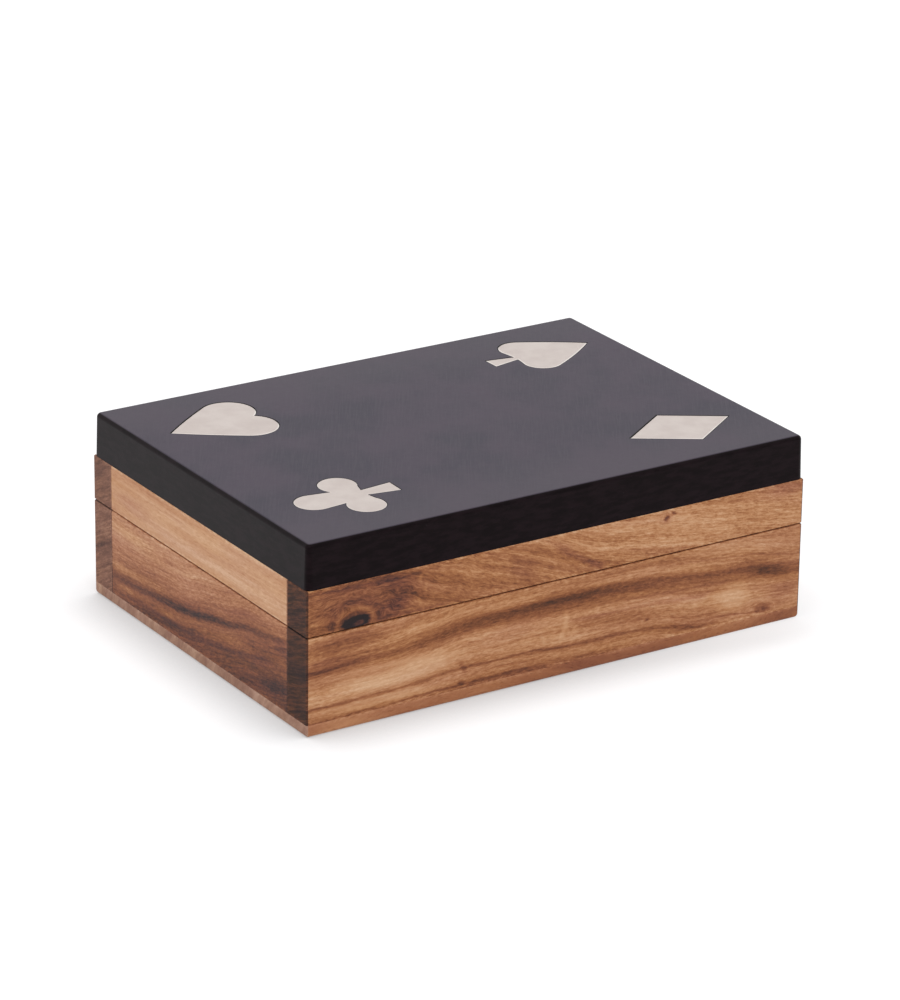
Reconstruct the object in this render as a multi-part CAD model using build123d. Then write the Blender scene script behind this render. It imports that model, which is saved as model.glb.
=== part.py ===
"""Playing card box: a hinged lid on a two-well tray, all of it joined from separate boards.

Frame: +X to the right along the long front, +Y to the back, +Z up, in millimetres. The origin is the
middle of the base board's underside, so the box stands on Z = 0. The lid is shut.
"""

import os
from math import acos, atan2, cos, hypot, radians, sin, tan

from build123d import *

# ---- Outside of the box ----
box_length = 178.0
box_width = 129.0
base_thickness = 4.0
wall_height = 27.5
lid_rail_height = 14.6
slab_thickness = 14.2

# ---- Boards ----
wall_thickness = 11.0
corner_radius = 0.6
rim_ease = 0.3
slab_seat_ease = 0.25
base_ease = 1.3

# ---- Black slab on the lid ----
slab_setback = 0.2
slab_draft = 1.5
slab_corner_radius = 1.9
slab_top_radius = 1.4

# ---- Inlaid suits, let into the slab from above ----
inlay_thickness = 1.6
inlay_fit = 0.05
suit_insets = {  # from the box's end to the suit's first point, and from its long side to that point
    "heart": (11.4, 28.6),
    "club": (13.6, 29.1),
    "spade": (10.4, 24.8),
    "diamond": (10.3, 26.1),
}
suit_turns = {"heart": 0.8, "club": -1.7, "spade": 1.3, "diamond": 0.9}  # degrees off square, as set by hand

# ---- Suits: along is from a suit's first point, across is from its middle line ----
heart_lobe_along = 24.5
heart_lobe_across = 6.9
heart_lobe_radius = 8.8
heart_side_radius = 220.0
spade_lobe_along = 22.5
spade_lobe_across = 6.95
spade_lobe_radius = 6.4
spade_side_radius = 120.0
spade_notch = 1.0
spade_length = 37.7
spade_stem_root = 2.1
spade_stem_foot = 6.2
club_lobe_radius = 6.0
club_lobe_along = 18.9
club_lobe_across = 8.8
club_web_along = 14.6
club_web_half = 4.9
club_neck_along = 23.2
club_neck_half = 2.3
club_length = 33.8
club_stem_root = 3.9
club_stem_foot = 7.0
diamond_length = 37.7
diamond_width = 24.4

# ---- Divider between the two wells ----
divider_thickness = 5.0
divider_setdown = 4.5
divider_ease = 0.5
dado_depth = 3.0
dado_fit = 0.05
scoop_width = 38.0
scoop_depth = 12.0
scoop_corner = 6.0

# ---- Lid and hinges ----
lid_gap = 0.2
lid_opening = 95.0
stop_play = 1.0
axis_inset = 0.6
hinge_length = 25.0
hinge_from_end = 38.0
leaf_width = 7.6
leaf_thickness = 1.0
leaf_corner_radius = 0.6
leaf_fit = 0.1
knuckle_radius = 1.8
knuckle_count = 5
knuckle_gap = 0.12
knuckle_room = 0.25
pin_radius = 0.8
pin_play = 0.03
pin_head_radius = 1.25
pin_head_height = 0.45
pin_head_round = 0.35

# ---- Hinge screws ----
screw_length = 8.0
screw_head_radius = 1.85
screw_shank_radius = 1.0
screw_root_radius = 0.7
screw_plain_length = 1.2
screw_point_length = 1.8
screw_thread_pitch = 0.8
screw_spacing = 15.0
screw_slot_width = 0.5
screw_slot_depth = 0.5
screw_fit = 0.04

# ---- How far a cutting shape runs past what it cuts ----
overcut = 1.0

# ---- Levels and lines that follow from the sizes above ----
rim_level = base_thickness + wall_height
lid_level = rim_level + lid_gap
slab_level = lid_level + lid_rail_height
top_level = slab_level + slab_thickness
inner_length = box_length - 2 * wall_thickness
inner_width = box_width - 2 * wall_thickness
divider_height = wall_height - divider_setdown
axis_y = box_width / 2 - axis_inset
axis_z = rim_level + lid_gap / 2
hinge_places = {
    "left": -box_length / 2 + hinge_from_end,
    "right": box_length / 2 - hinge_from_end,
}

UPRIGHT = (Align.CENTER, Align.CENTER, Align.MIN)
ALONG_X = Rotation(0, 90, 0)


# ------------------------------------------------------------------ boards and frames


def board_frame(bottom, height, low_ease, high_ease):
    """Four boards as one ring, with the outside corners and the outer rims eased after the glue-up."""
    ring = Pos(0, 0, bottom) * Box(box_length, box_width, height, align=UPRIGHT)
    ring = fillet(ring.edges().filter_by(Axis.Z), corner_radius)
    ring = chamfer(ring.faces().sort_by(Axis.Z)[-1].edges(), high_ease)
    if low_ease:
        ring = chamfer(ring.faces().sort_by(Axis.Z)[0].edges(), low_ease)
    hollow = Box(inner_length, inner_width, height + 2 * overcut, align=UPRIGHT)
    return ring - Pos(0, 0, bottom - overcut) * hollow


def split_into_boards(ring, bottom, height):
    """The long boards run the full length, and the short boards stand between them."""
    long_board = Box(box_length + 2 * overcut, wall_thickness, height, align=UPRIGHT)
    short_board = Box(wall_thickness, inner_width, height, align=UPRIGHT)
    long_y = (box_width - wall_thickness) / 2
    short_x = (box_length - wall_thickness) / 2
    return {
        "front": ring & (Pos(0, -long_y, bottom) * long_board),
        "back": ring & (Pos(0, long_y, bottom) * long_board),
        "left": ring & (Pos(-short_x, 0, bottom) * short_board),
        "right": ring & (Pos(short_x, 0, bottom) * short_board),
    }


def rear_bevel():
    """The wood taken off both rear edges: a wedge that opens backwards from the hinge line.

    Its two faces meet when the lid stands at its limit, which is what stops the lid.
    """
    half_angle = radians((lid_opening + stop_play) / 2)
    reach = axis_inset + overcut
    rise = reach * tan(half_angle)
    outline = Plane.YZ * Polyline((0, 0), (reach, rise), (reach, -rise), (0, 0))
    wedge = extrude(make_face(outline), amount=box_length / 2 + overcut, both=True)
    return Pos(0, axis_y, axis_z) * wedge


def make_base_board():
    board = Box(box_length, box_width, base_thickness, align=UPRIGHT)
    board = fillet(board.edges().filter_by(Axis.Z), corner_radius)
    return fillet(board.faces().sort_by(Axis.Z)[0].edges(), base_ease)


def make_divider():
    """A board that stands in the dados of the front and back walls, scooped to let a finger in."""
    length = inner_width + 2 * (dado_depth - dado_fit)
    board = Pos(0, 0, base_thickness) * Box(divider_thickness, length, divider_height, align=UPRIGHT)
    scoop = Rectangle(scoop_width, 2 * scoop_depth)
    scoop = fillet(scoop.vertices(), scoop_corner)
    scoop = extrude(Plane.YZ * scoop, amount=divider_thickness, both=True)
    board -= Pos(0, 0, base_thickness + divider_height) * scoop
    scoop_floor = base_thickness + divider_height - scoop_depth
    handled = [edge for edge in board.edges() if is_handled(edge, scoop_floor)]
    return fillet(handled, divider_ease)


def is_handled(edge, scoop_floor):
    """True for the edges that a hand meets: both sides of the divider's top and of its scoop."""
    on_side = abs(abs(edge.center(CenterOf.BOUNDING_BOX).X) - divider_thickness / 2) < 0.01
    return on_side and edge.bounding_box().min.Z > scoop_floor - 0.01


def divider_dados():
    """Grooves for the divider in the front and back walls, cut up from below and stopped at its top."""
    width = divider_thickness + 2 * dado_fit
    length = inner_width + 2 * dado_depth
    cutter = Box(width, length, divider_height + dado_fit, align=UPRIGHT)
    return Pos(0, 0, base_thickness) * cutter


# ------------------------------------------------------------------ lid slab and inlays


def make_plain_slab():
    """The cast slab before the suits are let in: sides leaning in, rounded corners and top edge."""
    outline = RectangleRounded(
        box_length - 2 * slab_setback, box_width - 2 * slab_setback, slab_corner_radius
    )
    slab = extrude(outline, amount=slab_thickness, taper=slab_draft)
    slab = fillet(slab.faces().sort_by(Axis.Z)[-1].edges(), slab_top_radius)
    return Pos(0, 0, slab_level) * slab


def lobes_to_point(along, across, lobe_radius, side_radius):
    """Two round lobes side by side, drawn in to a point at the origin by long arcs tangent to them.

    A side arc's centre is side_radius from the point, and side_radius less lobe_radius from the
    lobe's centre, on the far side of the middle line.
    """
    lobe = Vector(along, across)
    outward = lobe.normalized()
    inward = Vector(outward.Y, -outward.X)
    distance = lobe.length
    foot = (side_radius**2 + distance**2 - (side_radius - lobe_radius) ** 2) / (2 * distance)
    centre = outward * foot + inward * (side_radius**2 - foot**2) ** 0.5
    to_touch = (lobe - centre).normalized()
    to_point = (-centre).normalized()
    touch = centre + to_touch * side_radius
    middle = centre + (to_touch + to_point).normalized() * side_radius
    side = ThreePointArc((0, 0), middle, touch)
    upper = [side, Line(touch, lobe), Line(lobe, (along, 0)), Line((along, 0), (0, 0))]
    lower = [mirror(edge, about=Plane.XZ) for edge in upper]
    lobes = [Pos(along, sign * across) * Circle(lobe_radius) for sign in (1, -1)]
    return make_face(upper) + [make_face(lower), *lobes]


def two_sided(*upper_points):
    """A flat shape that is the same on both sides of the X axis, from its upper side's points."""
    lower_points = [(x, -y) for x, y in reversed(upper_points)]
    return make_face(Polyline(*upper_points, *lower_points, upper_points[0]))


def heart_outline():
    return lobes_to_point(heart_lobe_along, heart_lobe_across, heart_lobe_radius, heart_side_radius)


def spade_outline():
    """A heart's shape with a shallow notch that the stem grows from."""
    body = lobes_to_point(spade_lobe_along, spade_lobe_across, spade_lobe_radius, spade_side_radius)
    back = spade_lobe_along + spade_lobe_radius
    notch = back - spade_notch
    filling = make_face(
        Polyline(
            (spade_lobe_along, spade_lobe_across),
            (back, spade_lobe_across),
            (notch, 0),
            (back, -spade_lobe_across),
            (spade_lobe_along, -spade_lobe_across),
            (spade_lobe_along, spade_lobe_across),
        )
    )
    stem = two_sided((notch - overcut, spade_stem_root / 2), (spade_length, spade_stem_foot / 2))
    return body + [filling, stem]


def club_outline():
    """Three lobes, the first drawn out towards the other two, and a stem that widens to its foot."""
    crown = Pos(club_lobe_radius, 0) * Circle(club_lobe_radius)
    lobes = [Pos(club_lobe_along, side * club_lobe_across) * Circle(club_lobe_radius) for side in (1, -1)]
    reach = club_web_along - club_lobe_radius
    touch = atan2(club_web_half, reach) + acos(club_lobe_radius / hypot(reach, club_web_half))
    web = two_sided(
        (club_lobe_radius * (1 + cos(touch)), club_lobe_radius * sin(touch)),
        (club_web_along, club_web_half),
        (club_lobe_along, club_web_half),
    )
    trunk = two_sided(
        (club_lobe_along, club_lobe_across),
        (club_lobe_along + 0.98 * club_lobe_radius, club_lobe_across),
        (club_neck_along, club_neck_half),
    )
    stem = two_sided((club_neck_along - overcut, club_stem_root / 2), (club_length, club_stem_foot / 2))
    return crown + [*lobes, web, trunk, stem]


def diamond_outline():
    half_length = diamond_length / 2
    half_width = diamond_width / 2
    corners = [(0, 0), (half_length, half_width), (diamond_length, 0), (half_length, -half_width), (0, 0)]
    return make_face(Polyline(*corners))


def placed_suits():
    """Each suit's outline where it lies on the slab, seen from above. Each starts near the box's end."""
    outlines = {
        "heart": (heart_outline(), -1, 1),
        "club": (club_outline(), -1, -1),
        "spade": (spade_outline(), 1, 1),
        "diamond": (diamond_outline(), 1, -1),
    }
    for name, (outline, end, side) in outlines.items():
        from_end, from_side = suit_insets[name]
        place = Pos(end * (box_length / 2 - from_end), side * (box_width / 2 - from_side))
        heading = suit_turns[name] + (180 if end > 0 else 0)
        yield name, place * Rotation(0, 0, heading) * outline


def make_inlays_and_slab():
    """The four inlays, flush with the slab's top, and the slab with a pocket for each."""
    slab = make_plain_slab()
    floor = Pos(0, 0, top_level - inlay_thickness)
    inlays = {}
    for name, outline in placed_suits():
        pocket = offset(outline, amount=inlay_fit, kind=Kind.INTERSECTION)
        slab -= floor * extrude(pocket, amount=inlay_thickness + overcut)
        inlays[f"inlay_{name}"] = floor * extrude(outline, amount=inlay_thickness)
    return inlays, slab


# ------------------------------------------------------------------ hinges and screws


def make_screw():
    """A slotted countersunk screw, its head's face at Z = 0 and its point down, with ring threads."""
    cone = screw_head_radius - screw_shank_radius
    level = -cone - screw_plain_length
    points = [(0, 0), (screw_head_radius, 0), (screw_shank_radius, -cone), (screw_shank_radius, level)]
    while level - screw_thread_pitch > screw_point_length - screw_length:
        points.append((screw_root_radius, level - screw_thread_pitch / 2))
        points.append((screw_shank_radius, level - screw_thread_pitch))
        level -= screw_thread_pitch
    points += [(screw_root_radius, screw_point_length - screw_length), (0, -screw_length), (0, 0)]
    screw = revolve(make_face(Plane.XZ * Polyline(*points)), Axis.Z)
    slot = Box(3 * screw_head_radius, screw_slot_width, 2 * screw_slot_depth)
    return screw - slot


def make_screw_hole():
    """What a screw takes out of the leaf and of the wood under it: a countersink and a straight bore."""
    bore_radius = screw_shank_radius + screw_fit
    head_radius = screw_head_radius + screw_fit
    depth = screw_length + screw_fit
    points = [
        (0, screw_fit),
        (head_radius + screw_fit, screw_fit),
        (bore_radius, bore_radius - head_radius),
        (bore_radius, -depth),
        (0, -depth),
        (0, screw_fit),
    ]
    return revolve(make_face(Plane.XZ * Polyline(*points)), Axis.Z)


def screw_places(hinge_x):
    """Along the hinge and across the leaf, where its two screws stand."""
    across = axis_y - (knuckle_radius + leaf_width) / 2
    return [(hinge_x - screw_spacing / 2, across), (hinge_x + screw_spacing / 2, across)]


def on_box_leaf(x, y):
    """Where a screw stands in a leaf on the box, driven down."""
    return Pos(x, y, rim_level)


def on_lid_leaf(x, y):
    """Where a screw stands in a leaf on the lid, driven up."""
    return Pos(x, y, lid_level) * Rotation(180, 0, 0)


def knuckle_spans(hinge_x, on_lid):
    """Start and length of one leaf's knuckles: the box leaf has the end ones, and they take turns."""
    pitch = hinge_length / knuckle_count
    for number in range(1 if on_lid else 0, knuckle_count, 2):
        low = hinge_x - hinge_length / 2 + number * pitch
        yield low + knuckle_gap / 2, pitch - knuckle_gap


def along_axis(radius, start, length):
    """A round bar on the hinge line."""
    bar = Cylinder(radius, length, align=UPRIGHT)
    return Pos(start, axis_y, axis_z) * ALONG_X * bar


def make_leaf(hinge_x, on_lid):
    """One leaf: a flat plate let into the rim, with its knuckles rolled round the hinge line."""
    plate = Box(hinge_length, leaf_width, leaf_thickness, align=(Align.CENTER, Align.MAX, Align.MIN))
    corners = plate.edges().filter_by(Axis.Z).group_by(Axis.Y)[0]
    plate = fillet(corners, leaf_corner_radius)
    bottom = lid_level if on_lid else rim_level - leaf_thickness
    plate = Pos(hinge_x, axis_y, bottom) * plate
    for start, length in knuckle_spans(hinge_x, not on_lid):
        plate -= along_axis(knuckle_radius + knuckle_room, start - knuckle_gap, length + 2 * knuckle_gap)
    for start, length in knuckle_spans(hinge_x, on_lid):
        plate += along_axis(knuckle_radius, start, length)
    bore_length = hinge_length + 2 * overcut
    plate -= along_axis(pin_radius + pin_play, hinge_x - bore_length / 2, bore_length)
    place = on_lid_leaf if on_lid else on_box_leaf
    for x, y in screw_places(hinge_x):
        plate -= place(x, y) * make_screw_hole()
    return plate


def make_pin(hinge_x):
    """The pin, with a low domed head at each end of the barrel."""
    pin = along_axis(pin_radius, hinge_x - hinge_length / 2, hinge_length)
    for side in (-1, 1):
        end = hinge_x + side * hinge_length / 2
        start = end if side > 0 else end - pin_head_height
        head = along_axis(pin_head_radius, start, pin_head_height)
        outer = head.edges().filter_by(GeomType.CIRCLE).sort_by(Axis.X)[-1 if side > 0 else 0]
        pin += fillet(outer, pin_head_round)
    return pin


def hinge_housing(hinge_x, on_lid):
    """What a hinge takes out of a rim: the mortise for its leaf, the barrel's groove and the screw holes."""
    room = hinge_length + 2 * leaf_fit
    align = (Align.CENTER, Align.MAX, Align.MIN if on_lid else Align.MAX)
    bed = Pos(hinge_x, axis_y, lid_level if on_lid else rim_level)
    cutters = [bed * Box(room, leaf_width + leaf_fit, leaf_thickness, align=align)]
    groove_length = room + 2 * pin_head_height
    cutters.append(along_axis(knuckle_radius + knuckle_room, hinge_x - groove_length / 2, groove_length))
    place = on_lid_leaf if on_lid else on_box_leaf
    cutters += [place(x, y) * make_screw_hole() for x, y in screw_places(hinge_x)]
    return cutters


def house_hinges(board, on_lid):
    """The back board of the box or of the lid, with its rear bevel and both hinges' housings."""
    board -= rear_bevel()
    for hinge_x in hinge_places.values():
        for cutter in hinge_housing(hinge_x, on_lid):
            board -= cutter
    return board


def make_screw_set(on_lid):
    """All the screws that hold the leaves of the box, or those of the lid."""
    place = on_lid_leaf if on_lid else on_box_leaf
    screw = make_screw()
    spots = [spot for hinge_x in hinge_places.values() for spot in screw_places(hinge_x)]
    return Compound([place(x, y) * screw for x, y in spots])


# ------------------------------------------------------------------ the whole box


def make_box():
    """Everything that stays on the table."""
    walls = board_frame(base_thickness, wall_height, low_ease=0, high_ease=rim_ease)
    walls = split_into_boards(walls, base_thickness, wall_height)
    dados = divider_dados()
    parts = {
        "base_board": make_base_board(),
        "box_front_wall": walls["front"] - dados,
        "box_back_wall": house_hinges(walls["back"] - dados, on_lid=False),
        "box_left_wall": walls["left"],
        "box_right_wall": walls["right"],
        "well_divider": make_divider(),
        "box_leaf_screws": make_screw_set(on_lid=False),
    }
    for side, hinge_x in hinge_places.items():
        parts[f"{side}_hinge_box_leaf"] = make_leaf(hinge_x, on_lid=False)
        parts[f"{side}_hinge_pin"] = make_pin(hinge_x)
    return parts


def make_lid():
    """Everything that swings up."""
    rails = board_frame(lid_level, lid_rail_height, low_ease=rim_ease, high_ease=slab_seat_ease)
    rails = split_into_boards(rails, lid_level, lid_rail_height)
    inlays, slab = make_inlays_and_slab()
    parts = {
        "lid_slab": slab,
        "lid_front_rail": rails["front"],
        "lid_back_rail": house_hinges(rails["back"], on_lid=True),
        "lid_left_rail": rails["left"],
        "lid_right_rail": rails["right"],
        "lid_leaf_screws": make_screw_set(on_lid=True),
        **inlays,
    }
    for side, hinge_x in hinge_places.items():
        parts[f"{side}_hinge_lid_leaf"] = make_leaf(hinge_x, on_lid=True)
    return parts


def main():
    os.makedirs("parts", exist_ok=True)
    for name, shape in {**make_box(), **make_lid()}.items():
        export_step(shape, f"parts/{name}.step")


main()
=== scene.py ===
"""Looks of the playing card box: solid hardwood boards, a cast black lid slab with the four suits let in
as metal plates, and two brass butt hinges at the back. Wood, resin and screws are described in millimetres;
what goes straight into a mesh, an object or a bump is in metres."""

import math

import bmesh
import bpy
from mathutils import Matrix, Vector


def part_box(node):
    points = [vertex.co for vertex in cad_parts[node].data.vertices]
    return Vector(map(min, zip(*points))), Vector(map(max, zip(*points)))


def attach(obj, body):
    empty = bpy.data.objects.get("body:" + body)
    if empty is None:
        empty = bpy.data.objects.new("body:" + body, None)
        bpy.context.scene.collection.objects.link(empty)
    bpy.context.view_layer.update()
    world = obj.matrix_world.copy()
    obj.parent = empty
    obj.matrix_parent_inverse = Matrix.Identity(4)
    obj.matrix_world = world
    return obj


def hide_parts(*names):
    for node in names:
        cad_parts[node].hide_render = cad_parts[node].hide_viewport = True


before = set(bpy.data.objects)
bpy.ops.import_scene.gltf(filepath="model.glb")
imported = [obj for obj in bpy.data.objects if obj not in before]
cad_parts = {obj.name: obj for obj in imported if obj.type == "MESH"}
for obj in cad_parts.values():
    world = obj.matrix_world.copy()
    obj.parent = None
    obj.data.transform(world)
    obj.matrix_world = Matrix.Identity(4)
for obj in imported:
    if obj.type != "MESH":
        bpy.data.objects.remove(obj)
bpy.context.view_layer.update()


# ------------------------------------------------------------------------------------------ the studio
# A white table in a white light tent, with one large soft lamp high on the left. The camera stands off the
# front left corner and looks down about twenty degrees, through a long lens, as in the photograph.

camera = bpy.data.cameras.new("camera")
camera.lens = 168.73
camera.sensor_width = 36.0
camera.clip_end = 30.0
camera_stand = bpy.data.objects.new("camera", camera)
camera_aim = Matrix(
    (
        (0.84346, 0.18701, -0.50358),
        (-0.53703, 0.31648, -0.78195),
        (0.01313, 0.92998, 0.36737),
    )
)
camera_stand.matrix_world = Matrix.Translation((-0.72993, -1.13523, 0.56831)) @ camera_aim.to_4x4()
bpy.context.scene.collection.objects.link(camera_stand)
bpy.context.scene.camera = camera_stand
bpy.context.scene.view_settings.view_transform = "Standard"


def put(tree, kind, feeds=None, **settings):
    """One new node in a tree. A feed is a plain value or another node's socket."""
    node = tree.nodes.new(kind)
    for key, value in settings.items():
        setattr(node, key, value)
    for key, value in (feeds or {}).items():
        if isinstance(value, bpy.types.NodeSocket):
            tree.links.new(value, node.inputs[key])
        else:
            node.inputs[key].default_value = value
    return node


def seen(tree):
    """1 for what the eye sees straight, in a reflection or through glass; 0 for the light it gives."""
    rays = put(tree, "ShaderNodeLightPath").outputs
    feeds = {0: rays["Is Camera Ray"], 1: rays["Is Glossy Ray"]}
    seen_so_far = put(tree, "ShaderNodeMath", feeds, operation="MAXIMUM").outputs[0]
    feeds = {0: seen_so_far, 1: rays["Is Transmission Ray"]}
    return put(tree, "ShaderNodeMath", feeds, operation="MAXIMUM").outputs[0]


tent = bpy.data.worlds.new("tent")
tent.use_nodes = True
tent_tree = tent.node_tree
tent_tree.nodes.clear()
tent_feeds = {"Color": (1.0, 0.985, 0.985, 1.0), "Strength": 0.86}
tent_light = put(tent_tree, "ShaderNodeBackground", tent_feeds)
tent_feeds = {"Color": (1.0, 1.0, 1.0, 1.0), "Strength": 1.0}
tent_white = put(tent_tree, "ShaderNodeBackground", tent_feeds)
tent_feeds = {0: seen(tent_tree), 1: tent_light.outputs[0], 2: tent_white.outputs[0]}
tent_mix = put(tent_tree, "ShaderNodeMixShader", tent_feeds)
put(tent_tree, "ShaderNodeOutputWorld", {"Surface": tent_mix.outputs[0]})
bpy.context.scene.world = tent

lamp = bpy.data.lights.new("soft_lamp", "AREA")
lamp.shape = "SQUARE"
lamp.size = 1.6
lamp.energy = 7.0
lamp_stand = bpy.data.objects.new("soft_lamp", lamp)
lamp_stand.location = (-0.9, -1.1, 1.9)
lamp_stand.rotation_mode = "QUATERNION"
lamp_stand.rotation_quaternion = (-lamp_stand.location).to_track_quat("-Z", "Y")
bpy.context.scene.collection.objects.link(lamp_stand)

table_half = 8.0
table_mesh = bpy.data.meshes.new("table")
table_mesh.from_pydata(
    [
        (-table_half, -table_half, 0.0),
        (table_half, -table_half, 0.0),
        (table_half, table_half, 0.0),
        (-table_half, table_half, 0.0),
    ],
    [],
    [(0, 1, 2, 3)],
)
table = bpy.data.objects.new("table", table_mesh)
bpy.context.scene.collection.objects.link(table)

# The table's white paper throws its light on the box as plain white paper does. To the eye and in
# reflections it is white and darker where the box shades it, with a painted shadow in the narrow gap
# where the box stands on it, drawn from an occlusion term; on the right, away from the lamp's shadow,
# that painted shadow is made fainter.
paper = bpy.data.materials.new("table_paper")
paper.use_nodes = True
paper_tree = paper.node_tree
paper_tree.nodes.clear()
paper_diffuse = put(paper_tree, "ShaderNodeBsdfDiffuse", {"Color": (0.88, 0.875, 0.88, 1.0)})
paper_shaded = put(paper_tree, "ShaderNodeBsdfDiffuse", {"Color": (0.34, 0.34, 0.345, 1.0)})
# The occlusion term paints the contact shadow into the glow that the eye sees.
paper_near_painted_shadow = put(paper_tree, "ShaderNodeAmbientOcclusion", {"Distance": 0.024}, samples=12).outputs["AO"]
paper_place = put(paper_tree, "ShaderNodeNewGeometry").outputs["Position"]
paper_across = put(paper_tree, "ShaderNodeSeparateXYZ", {0: paper_place}).outputs["X"]
paper_feeds = {"Value": paper_across, "From Min": 0.0, "From Max": 0.10, "To Min": 0.45, "To Max": 0.88}
paper_right = put(paper_tree, "ShaderNodeMapRange", paper_feeds).outputs["Result"]
paper_feeds = {0: paper_near_painted_shadow, 1: paper_right}
paper_least = put(paper_tree, "ShaderNodeMath", paper_feeds, operation="MAXIMUM").outputs[0]
paper_feeds = {"Value": paper_least, "From Min": 0.45, "From Max": 0.97, "To Min": 0.38, "To Max": 0.80}
paper_open = put(paper_tree, "ShaderNodeMapRange", paper_feeds).outputs["Result"]
paper_feeds = {"Color": (1.0, 0.995, 1.0, 1.0), "Strength": paper_open}
paper_lift = put(paper_tree, "ShaderNodeEmission", paper_feeds)
paper_sum = put(paper_tree, "ShaderNodeAddShader", {0: paper_shaded.outputs[0], 1: paper_lift.outputs[0]})
paper_feeds = {0: seen(paper_tree), 1: paper_diffuse.outputs[0], 2: paper_sum.outputs[0]}
paper_mix = put(paper_tree, "ShaderNodeMixShader", paper_feeds)
put(paper_tree, "ShaderNodeOutputMaterial", {"Surface": paper_mix.outputs[0]})
table_mesh.materials.append(paper)


# -------------------------------------------------------------------------------------- the base board
# The bottom of the tray: one 4 mm board glued under the four walls, its lower edge rounded over. All the
# boards are the same oiled hardwood, tan with red and near-black streaks, so its recipe is made here.


class Wiring:
    """One material and its nodes. Any input takes a plain value or another node's socket."""

    def __init__(self, name):
        self.material = bpy.data.materials.new(name)
        self.material.use_nodes = True
        self.tree = self.material.node_tree
        self.tree.nodes.clear()

    def put(self, kind, feeds=None, **settings):
        return put(self.tree, kind, feeds, **settings)

    def math(self, operation, *values):
        return self.put("ShaderNodeMath", dict(enumerate(values)), operation=operation).outputs[0]

    def vector(self, operation, *values):
        node = self.put("ShaderNodeVectorMath", dict(enumerate(values)), operation=operation)
        return node.outputs["Value" if operation in ("LENGTH", "DOT_PRODUCT") else "Vector"]

    def millimetres(self):
        """Where a point lies on its object, in millimetres."""
        place = self.put("ShaderNodeTexCoord").outputs["Object"]
        return self.vector("MULTIPLY", place, (1000.0, 1000.0, 1000.0))

    def range(self, value, low, high, to_low=0.0, to_high=1.0, soft=True):
        feeds = {"Value": value, "From Min": low, "From Max": high, "To Min": to_low, "To Max": to_high}
        kind = "SMOOTHSTEP" if soft else "LINEAR"
        return self.put("ShaderNodeMapRange", feeds, interpolation_type=kind).outputs["Result"]

    def noise(self, place, stretch, shift=0.0, detail=2.0, rough=0.55):
        """Noise whose grains are stretch = (x, y, z) millimetres long; shift makes each one differ."""
        apart = (shift, shift * 1.7, shift * 0.6)
        fine = self.vector("MULTIPLY_ADD", place, [1.0 / s for s in stretch], apart)
        feeds = {"Vector": fine, "Scale": 1.0, "Detail": detail, "Roughness": rough}
        return self.put("ShaderNodeTexNoise", feeds)

    def curve(self, value, points, low=None, high=None):
        """A drawn curve through points (x, y); its ends run on level. y is held between low and high."""
        if low is None:
            low = min(y for _, y in points)
            high = max(y for _, y in points) + 0.001
        first, last = points[0][0], points[-1][0]
        part = self.range(value, first, last, soft=False)
        node = self.put("ShaderNodeFloatCurve", {"Value": part})
        drawn = node.mapping.curves[0].points
        while len(drawn) < len(points):
            drawn.new(0.5, 0.5)
        for dot, (x, y) in zip(drawn, points):
            dot.location = ((x - first) / (last - first), (y - low) / (high - low))
            dot.handle_type = "AUTO_CLAMPED"
        node.mapping.update()
        return self.math("MULTIPLY_ADD", node.outputs[0], high - low, low)

    def away(self, place, x, y, reach, rise, turn=0.0):
        """How far from (x, y): 1 on the ellipse of that half length and half height; turn in degrees."""
        feeds = {
            0: place,
            "Location": (x, y, 0.0),
            "Rotation": (0.0, 0.0, math.radians(turn)),
            "Scale": (reach, rise, 1000.0),
        }
        local = self.put("ShaderNodeMapping", feeds, vector_type="TEXTURE").outputs[0]
        return self.vector("LENGTH", local)

    def colour(self, value, stops):
        node = self.put("ShaderNodeValToRGB", {"Fac": value})
        band = node.color_ramp.elements
        while len(band) < len(stops):
            band.new(0.5)
        for stop, (at, tint) in zip(band, stops):
            stop.position = at
            stop.color = tint
        return node.outputs["Color"]

    def mix(self, share, first, second):
        feeds = {0: share, 6: first, 7: second}
        return self.put("ShaderNodeMix", feeds, data_type="RGBA").outputs[2]

    def surface(self, tint, rough, relief, strength, depth, more):
        """The finished material, with a relief of that depth in metres. more: its other inputs."""
        bump = self.put("ShaderNodeBump", {"Strength": strength, "Distance": depth, "Height": relief})
        feeds = {"Base Color": tint, "Roughness": rough, "Normal": bump.outputs[0], **more}
        shader = self.put("ShaderNodeBsdfPrincipled", feeds)
        self.put("ShaderNodeOutputMaterial", {"Surface": shader.outputs[0]})
        return self.material


def shade(red, green, blue):
    """A screen colour, 0 to 255, as the light values that a shader takes."""
    parts = [c / 255.0 for c in (red, green, blue)]
    return tuple(c / 12.92 if c <= 0.04045 else ((c + 0.055) / 1.055) ** 2.4 for c in parts) + (1.0,)


tan_wood = [
    (0.00, shade(32, 20, 18)),
    (0.12, shade(64, 40, 29)),
    (0.28, shade(103, 60, 37)),
    (0.44, shade(140, 85, 52)),
    (0.60, shade(170, 113, 71)),
    (0.76, shade(197, 144, 101)),
    (0.90, shade(212, 166, 127)),
    (1.00, shade(226, 187, 149)),
]
red_wood = [
    (0.00, shade(30, 21, 24)),
    (0.12, shade(56, 35, 34)),
    (0.28, shade(92, 54, 44)),
    (0.44, shade(126, 74, 54)),
    (0.60, shade(154, 97, 70)),
    (0.76, shade(180, 123, 93)),
    (0.90, shade(198, 149, 119)),
    (1.00, shade(212, 170, 144)),
]


def give(node, material):
    """The CAD node keeps its shape, and takes this material in every slot."""
    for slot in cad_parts[node].material_slots:
        slot.material = material


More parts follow.
